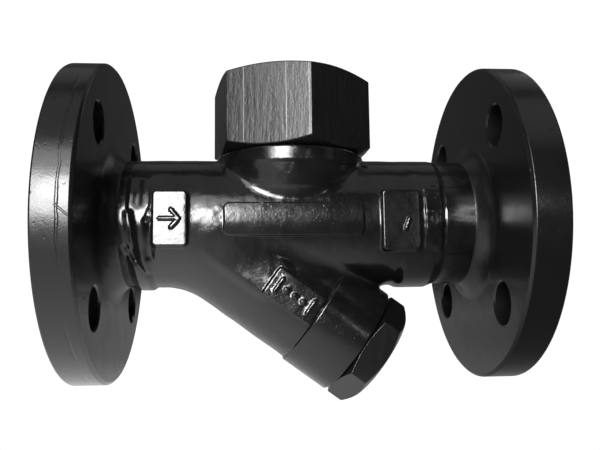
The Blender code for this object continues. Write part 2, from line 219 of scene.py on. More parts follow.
    # bores
    hole = drum(pipe, x, 12.5, -70.0, -24.0, 0.3)
    hole = np.minimum(hole, drum(pipe, x, 12.5, 21.0, 70.0, 0.3))
    hole = np.minimum(hole, np.maximum(pipe - 17.0, 49.4 - np.abs(x)))
    if fine:
        around = np.arctan2(y, -n) / (2 * math.pi)
        female = 15.42 + 1.13 * ridge(s / PITCH - around) * window(s, 30.6, 42.6, 0.3)
        female = np.where(s > 30.2, female, 15.5)
    else:
        female = np.where(s > 30.2, 16.3, 15.5)
    hole = np.minimum(hole, np.maximum(leg - female, -5.0 - s))
    hole = np.minimum(hole, np.maximum(leg - 19.2, 42.0 - s))
    hole = np.minimum(hole, drum(leg, s, 12.3, -27.0, 0.0, 0.3))
    hole = np.minimum(hole, np.maximum(bonnet - 15.4, 29.4 - z))
    hole = np.minimum(hole, drum(bonnet, z, 3.6, -12.0, 40.0, 0.3))
    hole = np.minimum(hole, np.maximum(np.abs(bonnet - 9.2) - 3.0, 27.4 - z))
    start, end = np.array([7.2, 0, 28.4]), np.array([27.0, 0, 2.0])
    line = end - start
    t = np.clip(((p - start) @ line) / (line @ line), 0, 1)
    hole = np.minimum(hole, np.linalg.norm(p - start - t[:, None] * line, axis=1) - 3.1)
    return smax(d, -hole, 0.35)


def slopes(field, p, gap=0.04):
    corners = np.array([[1, -1, -1], [-1, -1, 1], [-1, 1, -1], [1, 1, 1]], float)
    out = np.zeros_like(p)
    for c in corners:
        out += c * field(p + gap * c)[:, None]
    return out / (4 * gap)


def surface_nets(field, low, high, h, band):
    """Quads over the zero surface of a distance field: one point per crossed cell."""
    count = [int(math.ceil((b - a) / h)) + 1 for a, b in zip(low, high)]
    axes = [a + h * np.arange(c) for a, c in zip(low, count)]
    d = np.empty(count, np.float32)
    gy, gz = np.meshgrid(axes[1], axes[2], indexing="ij")
    for i in range(0, count[0], 24):
        xs = axes[0][i:i + 24]
        p = np.empty((len(xs),) + gy.shape + (3,))
        p[..., 0] = xs[:, None, None]
        p[..., 1] = gy
        p[..., 2] = gz
        p = p.reshape(-1, 3)
        value = field(p, False)
        near = np.abs(value) < band
        value[near] = field(p[near], True)
        d[i:i + 24] = value.reshape((len(xs),) + gy.shape)
    neg = d < 0
    corner = {}
    total = np.zeros([c - 1 for c in count], np.int8)
    for i in (0, 1):
        for j in (0, 1):
            for k in (0, 1):
                part = neg[i:count[0] - 1 + i, j:count[1] - 1 + j, k:count[2] - 1 + k]
                total += part
    active = (total > 0) & (total < 8)
    index = np.full(total.shape, -1, np.int64)
    cells = np.argwhere(active)
    index[active] = np.arange(len(cells))
    value = {}
    for i in (0, 1):
        for j in (0, 1):
            for k in (0, 1):
                value[i, j, k] = d[cells[:, 0] + i, cells[:, 1] + j, cells[:, 2] + k]
    place = np.zeros((len(cells), 3))
    hits = np.zeros(len(cells))
    for axis in range(3):
        others = [a for a in range(3) if a != axis]
        for u in (0, 1):
            for v in (0, 1):
                a, b = [0, 0, 0], [0, 0, 0]
                a[others[0]] = b[others[0]] = u
                a[others[1]] = b[others[1]] = v
                b[axis] = 1
                da, db = value[tuple(a)], value[tuple(b)]
                cross = (da < 0) != (db < 0)
                t = np.where(cross, da / np.where(cross, da - db, 1), 0)
                at = np.tile(np.array(a, float), (len(cells), 1))
                at[:, axis] = t
                place += np.where(cross[:, None], at, 0)
                hits += cross
    points = np.array(low) + h * (cells + place / hits[:, None])
    faces = []
    for axis in range(3):
        u, v = (axis + 1) % 3, (axis + 2) % 3
        first = [slice(1, -1)] * 3
        second = [slice(1, -1)] * 3
        first[axis], second[axis] = slice(0, -1), slice(1, None)
        a, b = neg[tuple(first)], neg[tuple(second)]
        for sign, found in ((1, a & ~b), (-1, ~a & b)):
            at = np.argwhere(found)
            at[:, u] += 1
            at[:, v] += 1
            quad = []
            for du, dv in ((-1, -1), (0, -1), (0, 0), (-1, 0)):
                c = at.copy()
                c[:, u] += du
                c[:, v] += dv
                quad.append(index[c[:, 0], c[:, 1], c[:, 2]])
            quad = np.stack(quad, 1)
            faces.append(quad if sign > 0 else quad[:, ::-1])
    return points, np.concatenate(faces)


def settle(field, points, rounds, reach):
    for _ in range(rounds):
        value = field(points)
        g = slopes(field, points)
        move = -(value / np.maximum((g * g).sum(1), 0.15))[:, None] * g
        length = np.linalg.norm(move, axis=1)
        move *= np.minimum(1, reach / np.maximum(length, 1e-9))[:, None]
        points = points + move
    return points


# ------------------------------------------------------------------ mesh helpers
def place_mesh(name, points, faces, paint, body, nodes, weighted=True):
    mesh = bpy.data.meshes.new(name)
    world = (np.asarray(points, float) + np.array([0, 0, PIPE_Z])) * MM
    mesh.from_pydata(world.tolist(), [], [tuple(int(i) for i in f) for f in faces])
    mesh.polygons.foreach_set("use_smooth", np.ones(len(mesh.polygons), bool))
    mesh.materials.append(paint)
    mesh.update()
    obj = bpy.data.objects.new(name, mesh)
    bpy.context.scene.collection.objects.link(obj)
    if weighted:
        even = obj.modifiers.new("even_normals", "WEIGHTED_NORMAL")
        even.keep_sharp = True
        even.weight = 80
    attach(obj, body)
    if nodes:
        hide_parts(*nodes)
    return obj


def axis_frame(origin, tilt):
    c, s = math.cos(math.radians(tilt)), math.sin(math.radians(tilt))
    return np.array([[c, 0, s], [0, 1, 0], [-s, 0, c]]), np.array(origin, float)


BONNET = axis_frame((BONNET_X, 0, 0), 0)
OUTLET = axis_frame((0, 0, 0), 90)
INLET = axis_frame((0, 0, 0), -90)
LEG = axis_frame(LEG0, 126)


def to_pipe(local, placed):
    turn, origin = placed
    return local @ turn.T + origin


def soften(points, radius, segments=3, ring=False):
    """Rounds the corners of a (radius, height) profile; radius is one number, or one for each point."""
    pts = [np.array(p, float) for p in points]
    count = len(pts)
    radii = [radius] * count if np.isscalar(radius) else list(radius)
    out = []
    for i in range(count):
        if radii[i] == 0 or (not ring and i in (0, count - 1)):
            out.append(pts[i])
            continue
        a, b, c = pts[i - 1], pts[i], pts[(i + 1) % count]
        u, v = a - b, c - b
        lu, lv = max(np.hypot(*u), 1e-9), max(np.hypot(*v), 1e-9)
        u, v = u / lu, v / lv
        angle = math.acos(max(-1.0, min(1.0, float(u @ v))))
        tan = math.tan(max(angle, 0.05) / 2)
        t = min(radii[i] / tan, 0.45 * lu, 0.45 * lv)
        w = math.sin(angle / 2)
        p0, p1 = b + u * t, b + v * t
        for k in range(segments + 1):
            q = k / segments
            top = (1 - q) ** 2 * p0 + 2 * w * q * (1 - q) * b + q * q * p1
            out.append(top / ((1 - q) ** 2 + 2 * w * q * (1 - q) + q * q))
    return np.array(out)


def lathe_mesh(profile, angles, ring=False):
    """Points and faces of a profile turned about local Z; the outer side runs downwards."""
    prof = np.asarray(profile, float)
    steps = len(angles)
    if prof.ndim == 2:
        prof = np.repeat(prof[:, None, :], steps, 1)
    rows = prof.shape[0]
    r, h = prof[..., 0], prof[..., 1]
    points = np.stack([r * np.cos(angles), r * np.sin(angles), h], -1).reshape(-1, 3)
    index = np.arange(rows * steps).reshape(rows, steps)
    if not ring:
        for row in (0, rows - 1):
            if np.all(r[row] < 1e-9):
                index[row] = index[row, 0]
    faces = []
    for i in range(rows if ring else rows - 1):
        a, b = index[i], index[(i + 1) % rows]
        d, c = np.roll(a, -1), np.roll(b, -1)
        if a[0] == d[0]:
            faces += list(zip(a, b, c))
        elif b[0] == c[0]:
            faces += list(zip(a, b, d))
        else:
            faces += list(zip(a, b, c, d))
    used = np.unique(np.concatenate([np.array(f) for f in faces]))
    renumber = np.full(len(points), -1)
    renumber[used] = np.arange(len(used))
    return points[used], [tuple(renumber[list(f)]) for f in faces]


def around(steps):
    return np.arange(steps) * 2 * math.pi / steps


def turned(name, profile, steps, placed, paint, body, nodes, ring=False, radius=0.15, segments=2):
    prof = soften(profile, radius, segments, ring) if radius is not None else np.array(profile)
    points, faces = lathe_mesh(prof, around(steps), ring)
    return place_mesh(name, to_pipe(points, placed), faces, paint, body, nodes)


def cut_with(obj, cutters):
    """Takes the cutters away from obj and keeps the result as obj's own mesh."""
    even = obj.modifiers.get("even_normals")
    if even:
        obj.modifiers.remove(even)
    for cutter in cutters:
        step_ = obj.modifiers.new("cut", "BOOLEAN")
        step_.operation = "DIFFERENCE"
        step_.solver = "EXACT"
        step_.object = cutter
    bpy.context.view_layer.update()
    graph = bpy.context.evaluated_depsgraph_get()
    mesh = bpy.data.meshes.new_from_object(obj.evaluated_get(graph))
    obj.modifiers.clear()
    obj.data = mesh
    mesh.name = obj.name
    mesh.polygons.foreach_set("use_smooth", np.ones(len(mesh.polygons), bool))
    mesh.set_sharp_from_angle(angle=math.radians(36))
    even = obj.modifiers.new("even_normals", "WEIGHTED_NORMAL")
    even.keep_sharp = True
    even.weight = 80
    for cutter in cutters:
        bpy.data.objects.remove(cutter, do_unlink=True)


def cutter(profile, steps, placed, shift=(0, 0, 0)):
    points, faces = lathe_mesh(np.array(profile), around(steps))
    points = to_pipe(points + np.array(shift), placed)
    mesh = bpy.data.meshes.new("cutter")
    mesh.from_pydata(((points + np.array([0, 0, PIPE_Z])) * MM).tolist(), [], faces)
    obj = bpy.data.objects.new("cutter", mesh)
    bpy.context.scene.collection.objects.link(obj)
    obj.hide_render = True
    return obj


# ------------------------------------------------------------------ node materials
class Paint:
    def __init__(self, name):
        self.material = bpy.data.materials.new(name)
        self.material.use_nodes = True
        self.tree = self.material.node_tree
        self.tree.nodes.clear()
        self.shader = self.add("ShaderNodeBsdfPrincipled")
        out = self.add("ShaderNodeOutputMaterial")
        self.tree.links.new(self.shader.outputs["BSDF"], out.inputs["Surface"])
        self.place = self.add("ShaderNodeTexCoord").outputs["Object"]
        self.normal = None

    def add(self, kind, inputs=None, **props):
        node = self.tree.nodes.new(kind)
        for key, value in props.items():
            setattr(node, key, value)
        for key, value in (inputs or {}).items():
            self.put(node.inputs[key], value)
        return node

    def put(self, socket, value):
        if isinstance(value, bpy.types.NodeSocket):
            self.tree.links.new(value, socket)
        else:
            socket.default_value = value

    def mapped(self, scale=(1, 1, 1), rotation=(0, 0, 0), location=(0, 0, 0)):
        return self.add("ShaderNodeMapping", {"Vector": self.place, "Scale": scale, "Rotation": rotation,
                                              "Location": location}).outputs["Vector"]

    def noise(self, scale, detail=2.0, rough=0.5, vector=None, distortion=0.0):
        return self.add("ShaderNodeTexNoise", {"Vector": vector or self.place, "Scale": scale, "Detail": detail,
                                               "Roughness": rough, "Distortion": distortion}).outputs["Fac"]

    def fit(self, value, a, b, c, d, smooth=False):
        node = self.add("ShaderNodeMapRange", {"Value": value, "From Min": a, "From Max": b, "To Min": c, "To Max": d})
        if smooth:
            node.interpolation_type = "SMOOTHSTEP"
        return node.outputs["Result"]

    def math(self, operation, a, b=0.0):
        node = self.add("ShaderNodeMath", operation=operation)
        self.put(node.inputs[0], a)
        self.put(node.inputs[1], b)
        return node.outputs[0]

    def bump(self, height, distance, strength=1.0):
        node = self.add("ShaderNodeBump", {"Height": height, "Distance": distance, "Strength": strength})
        if self.normal is not None:
            self.put(node.inputs["Normal"], self.normal)
        self.normal = node.outputs["Normal"]

    def mix(self, factor, a, b):
        node = self.add("ShaderNodeMix", data_type="RGBA")
        self.put(node.inputs["Factor"], factor)
        for socket, value in ((node.inputs[6], a), (node.inputs[7], b)):
            self.put(socket, value)
        return node.outputs[2]

    def finish(self, colour, roughness, metallic=0.0, coat=0.0, coat_roughness=0.1, specular=0.5):
        self.put(self.shader.inputs["Base Color"], colour)
        self.put(self.shader.inputs["Roughness"], roughness)
        self.put(self.shader.inputs["Metallic"], metallic)
        self.put(self.shader.inputs["Specular IOR Level"], specular)
        self.put(self.shader.inputs["Coat Weight"], coat)
        self.put(self.shader.inputs["Coat Roughness"], coat_roughness)
        if self.normal is not None:
            self.put(self.shader.inputs["Normal"], self.normal)
        return self.material


def grey(v, warm=0.0):
    return (v * (1 + warm), v, v * (1 - warm), 1.0)


def cast_paint():
    p = Paint("gloss_black_paint_on_casting")
    grain = p.noise(1100, 3, 0.55)
    skin = p.noise(330, 2, 0.5)
    grit = p.fit(p.noise(1900, 1, 0.4), 0.62, 0.74, 0, 1)
    p.bump(skin, 0.00006)
    p.bump(grain, 0.00002)
    p.bump(grit, 0.000012)
    rough = p.fit(p.noise(140, 3, 0.6), 0.3, 0.7, 0.13, 0.21)
    tone = p.mix(p.fit(p.noise(90, 3), 0.35, 0.65, 0, 1), grey(0.003), grey(0.006))
    return p.finish(tone, rough, specular=0.6)


def flange_paint():
    p = Paint("satin_black_paint_on_flange")
    grain = p.noise(1500, 2, 0.5)
    dents = p.fit(p.noise(520, 1, 0.3), 0.70, 0.80, 0, -1)
    p.bump(p.noise(70, 2), 0.00010)
    p.bump(dents, 0.00005)
    p.bump(p.noise(420, 3, 0.6), 0.00003)
    p.bump(grain, 0.00002)
    # the parting line of the rim's turning
    line = p.add("ShaderNodeSeparateXYZ", {"Vector": p.place})
    wobble = p.noise(160, 2, 0.6)
    across = p.math("ADD", line.outputs["X"], p.math("MULTIPLY", p.math("SUBTRACT", wobble, 0.5), 0.0016))
    seam = p.math("ABSOLUTE", p.math("ADD", across, 0.0702))
    worn = p.fit(p.noise(45, 2, 0.5), 0.36, 0.48, 0, 1)
    p.bump(p.math("MULTIPLY", p.fit(seam, 0.0001, 0.0006, -1.0, 0.0, True), worn), 0.00010)
    # a short diagonal scratch on the inlet flange's rim
    ahead = p.math("ADD", p.math("MULTIPLY", p.math("ADD", line.outputs["X"], 0.0685), 0.62),
                   p.math("MULTIPLY", p.math("ADD", line.outputs["Z"], -0.0015), 0.78))
    along = p.math("ADD", p.math("MULTIPLY", p.math("ADD", line.outputs["X"], 0.0685), 0.78),
                   p.math("MULTIPLY", p.math("ADD", line.outputs["Z"], -0.0015), -0.62))
    mark = p.math("MULTIPLY", p.fit(p.math("ABSOLUTE", ahead), 0.0001, 0.0004, 1, 0, True),
                  p.fit(p.math("ABSOLUTE", along), 0.0022, 0.0034, 1, 0, True))
    p.bump(mark, 0.00015)
    rough = p.fit(p.noise(110, 3, 0.6), 0.3, 0.7, 0.19, 0.27)
    return p.finish(grey(0.005), rough, specular=0.55)


def weld_paint():
    p = Paint("black_paint_on_weld")
    p.bump(p.noise(420, 2), 0.00012)
    p.bump(p.noise(1400, 2), 0.00003)
    return p.finish(grey(0.005), 0.27, specular=0.45)


def hexagon_paint(name, along, low, high, depth, grain, lines=(), specular=0.6):
    """Paint over a milled hexagon: cutter marks run along one direction; lines are single long scratches."""
    p = Paint(name)
    marks = p.noise(1.0, 3, 0.65, vector=p.mapped(scale=along[0], rotation=along[1]))
    p.bump(marks, depth)
    p.bump(p.noise(620, 3, 0.6), grain)
    p.bump(p.noise(1500, 2), grain * 0.4)
    if lines:
        place = p.add("ShaderNodeSeparateXYZ", {"Vector": p.place})
        u = p.math("ADD", p.math("MULTIPLY", place.outputs["X"], 0.946), p.math("MULTIPLY", place.outputs["Y"], -0.326))
        u = p.math("ADD", u, p.math("MULTIPLY", p.math("SUBTRACT", p.noise(60, 2), 0.5), 0.0006))
        for at, wide, deep in lines:
            off = p.math("SUBTRACT", u, at)
            slope = p.fit(off, 0.0, wide, 0, -1)
            p.bump(p.math("MULTIPLY", slope, p.math("LESS_THAN", off, wide)), deep)
    rough = p.fit(marks, 0.3, 0.7, low, high)
    return p.finish(grey(0.006), rough, specular=specular)


def metal(name, tone, low, high, grain, depth=0.00002, warm=0.0, metallic=1.0, stains=0.0):
    p = Paint(name)
    p.bump(p.noise(grain, 3, 0.6), depth)
    rough = p.fit(p.noise(260, 3, 0.6), 0.3, 0.7, low, high)
    colour = grey(tone, warm)
    if stains:
        colour = p.mix(p.fit(p.noise(170, 4, 0.6), 0.45, 0.75, 0, stains), colour, grey(tone * 0.35, 0.12))
    return p.finish(colour, rough, metallic)


CAST = cast_paint()
FLANGE = flange_paint()
WELD = weld_paint()
CAP = hexagon_paint("painted_hexagon_cap", ((650, 650, 75), (0, math.radians(7), 0)), 0.20, 0.36, 0.00007, 0.00006,
                    ((-0.01095, 0.00025, 0.00003), (0.0044, 0.00028, 0.00005), (0.0124, 0.0005, 0.00007)), 0.52)
PLUG = hexagon_paint("painted_hexagon_plug", ((500, 500, 90), (0, -math.radians(126), 0)), 0.14, 0.20, 0.000015,
                     0.00002)
PIPE = metal("mill_finish_pipe", 0.22, 0.40, 0.55, 700, 0.00004, 0.03, 0.85, 0.5)
BARE_WELD = metal("bare_weld_metal", 0.30, 0.32, 0.5, 900, 0.00006, 0.03, 1.0, 0.5)
HARD = metal("ground_hardened_steel", 0.56, 0.14, 0.24, 2500, 0.000006)
STAINLESS = metal("stainless_sheet", 0.58, 0.24, 0.36, 1500, 0.00001)
SOFT = metal("soft_iron_ring", 0.42, 0.30, 0.42, 1200, 0.00002, 0.04, 1.0, 0.3)
GRAPHITE = metal("graphite_ring", 0.045, 0.62, 0.75, 1500, 0.00004, 0.0, 0.1)


# ------------------------------------------------------------------ body casting
def build_body():
    h = 0.58
    points, faces = surface_nets(casting, (-62.6, -28.6, -61.8), (62.6, 28.6, 39.2), h, 3.0)
    fine = lambda q: casting(q, True)
    points = settle(fine, points, 2, 0.5 * h)
    obj = place_mesh("body_casting", points, faces, CAST, "casing", ["body"], weighted=False)
    # thin out the flat stretches, then put the points back on the surface with its own normals
    target = 190000 / (2 * len(faces))
    if target < 1:
        thin = obj.modifiers.new("thin", "DECIMATE")
        thin.ratio = target
        bpy.context.view_layer.update()
        graph = bpy.context.evaluated_depsgraph_get()
        mesh = bpy.data.meshes.new_from_object(obj.evaluated_get(graph))
        obj.modifiers.clear()
        obj.data = mesh
        mesh.name = "body_casting"
    mesh = obj.data
    co = np.empty(len(mesh.vertices) * 3)
    mesh.vertices.foreach_get("co", co)
    points = co.reshape(-1, 3) / MM - np.array([0, 0, PIPE_Z])
    points = settle(fine, points, 1, 0.15)
    normals = slopes(fine, points, 0.10)
    normals /= np.maximum(np.linalg.norm(normals, axis=1), 1e-9)[:, None]
    mesh.vertices.foreach_set("co", ((points + np.array([0, 0, PIPE_Z])) * MM).ravel())
    mesh.polygons.foreach_set("use_smooth", np.ones(len(mesh.polygons), bool))
    mesh.normals_split_custom_set_from_vertices(normals.tolist())
    mesh.update()
    # bare metal where the machining left the casting
    mesh.materials.append(THREAD)
    centre = np.empty(len(mesh.polygons) * 3)
    mesh.polygons.foreach_get("center", centre)
    centre = centre.reshape(-1, 3) / MM - np.array([0, 0, PIPE_Z])
    s = (centre - LEG0) @ A
    n = (centre - LEG0) @ N
    leg = np.hypot(centre[:, 1], n)
    bonnet = np.hypot(centre[:, 0] - BONNET_X, centre[:, 1])
    pipe = np.hypot(centre[:, 1], centre[:, 2])
    bare = (centre[:, 2] > 24.1) & (bonnet < 24.9)
    bare |= (leg < 19.4) & (s > 20)
    bare |= (leg < 15.8) & (s > -5.5) & (s < 43)
    bare |= (pipe < 17.2) & (np.abs(centre[:, 0]) > 20)
    bare |= (bonnet < 16) & (centre[:, 2] > 26)
    bare |= (bonnet < 4) & (centre[:, 2] > -13) & (np.abs(centre[:, 1]) < 4)
    bare |= (leg < 12.6) & (s > -27.5) & (s < 0)
    mesh.polygons.foreach_set("material_index", bare.astype(np.int32))
    return obj


THREAD = metal("machined_thread_steel", 0.33, 0.26, 0.40, 900, 0.00002, 0.02, 1.0, 0.4)
build_body()


# ------------------------------------------------------------------ flanges, stubs and welds
def build_flange(side, placed):
    outer, face = 57.5, 80.0
    rim = [(34.0, face), (34.0, 78.0), (outer - 0.2, 78.0), (outer, 77.4), (outer, 66.9), (outer - 0.9, 66.0),
           (17.0, 66.0), (17.0, face)]
    prof = soften(rim, [0.25, 0.4, 0.7, 0.5, 0.5, 0.45, 0.3, 0.4], 3, True)
    points, faces = lathe_mesh(prof, around(192), True)
    obj = place_mesh(side + "_flange_turned", to_pipe(points, placed), faces, FLANGE, "casing",
                     [side + "_flange"])
    holes = []
    for i in range(4):
        a = math.radians(45 + 90 * i)
        shape = [(0, 82.0), (9.0, 82.0), (9.0, 78.0), (7.55, 78.0), (7.0, 77.45), (7.0, 66.6), (7.6, 66.0),
                 (9.0, 64.6), (0, 64.6)]
        shape = [(0, 81.0), (7.6, 81.0), (7.6, 78.0), (7.0, 77.4), (7.0, 66.6), (7.6, 66.0), (7.6, 65.0), (0, 65.0)]
        holes.append(cutter(shape, 48, placed, (42.5 * math.cos(a), 42.5 * math.sin(a), 0)))
    cut_with(obj, holes)
    return obj


def weld_bead(side, placed, seed, tube):
    """The painted weld between the casting's end and the flange: a tight corner, then a hollow sweep outwards."""
    steps = 288
    th = around(steps)
    sway = 0.35 * np.sin(2 * th + seed) + 0.2 * np.sin(5 * th + 2 * seed) + 0.1 * np.sin(11 * th + seed)
    columns = []
    for a, extra in zip(th, sway):
        start, bend, end = (np.array(q) for q in ((tube + 0.04, 61.2), (tube + 3.3 + 0.5 * extra, 65.5),
                                                  (tube + 6.3 + extra, 66.02)))
        sweep = [(1 - t) ** 2 * start + 2 * t * (1 - t) * bend + t * t * end for t in np.linspace(0, 1, 12)]
        columns.append(np.array([(tube - 0.12, 60.7), (tube - 0.02, 61.0)] + [tuple(q) for q in sweep]))
    outside = np.stack(columns, 1)[::-1]
    inner = np.array([[17.0, 60.7], [17.0, 66.02]])
    inside = np.repeat(inner[:, None, :], steps, 1)
    prof = np.concatenate([outside, inside])
    points, faces = lathe_mesh(prof, th, True)
    obj = place_mesh(side + "_fillet_weld", to_pipe(points, placed), faces, WELD, "casing",
                     [side + "_weld"], weighted=False)
    obj.data.set_sharp_from_angle(angle=math.radians(60))


for side, placed, seed, tube in (("inlet", INLET, 0.7, 23.2), ("outlet", OUTLET, 2.1, 23.0)):
    build_flange(side, placed)
    weld_bead(side, placed, seed, tube)
    turned(side + "_pipe_stub", [(16.7, 75.0), (16.7, 50.0), (12.5, 50.0), (12.5, 75.0)], 96, placed, PIPE, "casing",
           [side + "_stub"], ring=True, radius=0.3)
    th = around(192)
    t = np.linspace(0, 1, 7)[:, None]
    wave = 0.10 * np.sin(38 * th[None, :] + 2 * np.sin(2 * th[None, :])) * np.sin(math.pi * t)
    crest = np.stack([13.0 + (16.7 - 13.0) * t + 0 * wave, 75.4 + 2.8 * t ** 0.8 + 0.9 * np.sin(math.pi * t) * 0.5 + wave], -1)
    wall = np.repeat(np.array([[16.9, 75.4]])[:, None, :], len(th), 1)
    prof = np.concatenate([crest[::-1][:1], wall, crest[:1], crest[1:-1]])
    prof = np.concatenate([crest[-1:], wall, crest[:-1]])
    points, faces = lathe_mesh(prof, th, True)
    place_mesh(side + "_bore_weld", to_pipe(points, placed), faces, BARE_WELD, "casing",
               [side + "_seal_weld"], weighted=False)


# ------------------------------------------------------------------ hexagons
def hex_outline(across_flats, corner_deg, edge, flat_points=7, arc_points=5):
    corner = across_flats / math.sqrt(3) - edge / math.cos(math.radians(30))
    pts = []
    for k in range(6):
        a = math.radians(corner_deg + 60 * k)
        centre = corner * np.array([math.cos(a), math.sin(a)])
        for j in range(arc_points):
            b = a + math.radians(-30 + 60 * j / (arc_points - 1))
            pts.append(centre + edge * np.array([math.cos(b), math.sin(b)]))
        a2 = math.radians(corner_deg + 60 * (k + 1))
        b = a2 - math.radians(30)
        end = corner * np.array([math.cos(a2), math.sin(a2)]) + edge * np.array([math.cos(b), math.sin(b)])
        start = pts[-1]
        for j in range(1, flat_points + 1):
            pts.append(start + (end - start) * j / (flat_points + 1))
    pts = np.array(pts)
    angles = np.unwrap(np.arctan2(pts[:, 1], pts[:, 0]))
    return angles, np.hypot(pts[:, 0], pts[:, 1])


def build_cap():
    angles, radii = hex_outline(53.4, -79.0, 0.6, 19, 7)
    flat, top, bottom = 26.7, 53.6, 24.45
    slope_high, slope_low = 1.5 / (30.83 - 26.7), 1.9 / (30.83 - 26.7)
    columns = []
    heights = np.arange(39.2, 27.3, -0.2)
    for a, r in zip(angles, radii):
        outer = soften(
            [(0, top), (flat - 0.8, top), (r, top - slope_high * (r - flat + 0.8)),
             (r, bottom + slope_low * (r - flat + 0.8)), (flat - 0.8, bottom), (24.8, bottom), (24.8, 26.4),
             (21.6, 26.4)],
            [0, 1.2, 0.55, 0.5, 0.5, 0.25, 0.2, 0], 3)
        thread = [(19.89 + 1.13 * float(ridge(h / PITCH - a / (2 * math.pi))), h) for h in heights[::-1]]
        inner = soften([(21.15, 27.0), (21.15, 27.2)], 0) .tolist() + thread
        roof = soften([(21.0, 39.6), (21.0, 40.4), (17.4, 41.4), (17.4, 46.6), (0, 46.6)], [0, 0.3, 0.3, 0.6, 0], 2)
        columns.append(np.concatenate([outer, np.array(inner), roof]))
    prof = np.stack(columns, 1)
    points, faces = lathe_mesh(prof, angles)
    obj = place_mesh("hexagon_cap", to_pipe(points, BONNET), faces, CAP, "cap", ["cap"])
    mesh = obj.data
    mesh.materials.append(THREAD)
    inside = [(np.hypot(p.center.x / MM - BONNET_X, p.center.y / MM) < 24.85 and p.center.z / MM - PIPE_Z < 47.0
               and p.center.z / MM - PIPE_Z > 24.85) for p in mesh.polygons]
    mesh.polygons.foreach_set("material_index", np.array(inside, np.int32))
    return obj


def build_plug():
    angles, radii = hex_outline(36.4, 0.0, 0.35, 17, 7)
    flat, top, seat = 18.2, 53.2, 43.7
    corner = 36.4 / math.sqrt(3)
    slope_high, slope_low = 1.6 / (corner - flat), 1.2 / (corner - flat)
    heights = np.arange(42.2, 32.5, -0.2)
    columns = []
    for a, r in zip(angles, radii):
        head = soften(
            [(0, top), (flat - 0.8, top), (r, top - slope_high * (r - flat + 0.8)),
             (r, seat + slope_low * (r - flat + 0.8)), (flat - 0.8, seat), (15.1, seat), (15.1, 42.6)],
            [0, 0.8, 0.5, 0.15, 0.35, 0.2, 0], 3)
        thread = [(15.30 + 1.13 * float(ridge(h / PITCH - a / (2 * math.pi))) * float(window(h, 32.6, 42.0, 0.3)), h)
                  for h in heights]
        tail = soften([(15.3, 32.3), (14.9, 31.5), (14.0, 31.5), (14.0, 37.3), (0, 37.3)], [0, 0.1, 0.1, 0.4, 0], 2)
        columns.append(np.concatenate([head, np.array(thread), tail]))
    prof = np.stack(columns, 1)
    points, faces = lathe_mesh(prof, angles)
    obj = place_mesh("hexagon_plug", to_pipe(points, LEG), faces, PLUG, "strainer_plug",
                     ["strainer_plug"])
    mesh = obj.data
    mesh.materials.append(THREAD)
    centre = np.array([p.center for p in mesh.polygons]) / MM - np.array([0, 0, PIPE_Z])
    s = (centre - LEG0) @ A
    mesh.polygons.foreach_set("material_index", (s < 43.6).astype(np.int32))
    return obj


build_cap()
build_plug()


# ------------------------------------------------------------------ trap internals
turned("seat_gasket_outer_ring", [(15.1, 30.5), (15.1, 29.7), (12.7, 29.7), (12.7, 30.5)], 96, BONNET, GRAPHITE,
       "casing", ["seat_outer_gasket"], ring=True, radius=0.12)
turned("seat_gasket_inner_ring", [(5.8, 30.5), (5.8, 29.7), (3.9, 29.7), (3.9, 30.5)], 72, BONNET, GRAPHITE,
       "casing", ["seat_inner_gasket"], ring=True, radius=0.12)
seat = turned("valve_seat", [(15.1, 36.4), (15.1, 30.8), (3.2, 30.8), (3.2, 37.0), (5.0, 37.0), (5.0, 35.6),
                             (8.5, 35.6), (8.5, 37.0), (9.9, 37.0), (9.9, 36.4)], 96, BONNET, HARD, "casing",
              ["seat"], ring=True, radius=0.08)
cut_with(seat, [cutter([(0, 39), (1.1, 39), (1.1, 29), (0, 29)], 24, BONNET,
                       (7.2 * math.cos(math.radians(30 + 120 * i)), 7.2 * math.sin(math.radians(30 + 120 * i)), 0))
                for i in range(3)])
turned("valve_disc", [(0, 40.1), (9.2, 40.1), (9.6, 39.7), (9.6, 37.3), (7.6, 37.3), (7.6, 37.8), (7.0, 37.8),
                      (7.0, 37.3), (0, 37.3)], 96, BONNET, HARD, "disc", ["disc"], radius=0.1)
turned("chamber_cover", [(0, 46.2), (13.2, 46.2), (15.1, 44.6), (15.1, 36.7), (11.4, 36.7), (11.4, 41.2),
                         (10.2, 42.2), (0, 42.2)], 96, BONNET, HARD, "casing", ["inner_cover"],
       radius=0.3)
turned("cap_seal_ring", [(24.4, 26.1), (24.4, 24.6), (21.2, 24.6), (21.2, 26.1)], 128, BONNET, SOFT, "cap_gasket",
       ["cap_gasket"], ring=True, radius=0.25)
turned("plug_seal_ring", [(18.9, 43.4), (18.9, 42.3), (16.9, 42.3), (16.9, 43.4)], 128, LEG, SOFT, "plug_gasket",
       ["plug_gasket"], ring=True, radius=0.2)
turned("screen_end_ring_top", [(15.2, -1.7), (15.2, -4.7), (12.5, -4.7), (12.5, -1.7)], 96, LEG, STAINLESS,
       "screen", ["screen_top_ring"], ring=True, radius=0.3)
turned("screen_end_ring_bottom", [(13.7, 37.0), (13.7, 33.0), (12.5, 33.0), (12.5, 37.0)], 96, LEG, STAINLESS,
       "screen", ["screen_bottom_ring"], ring=True, radius=0.25)


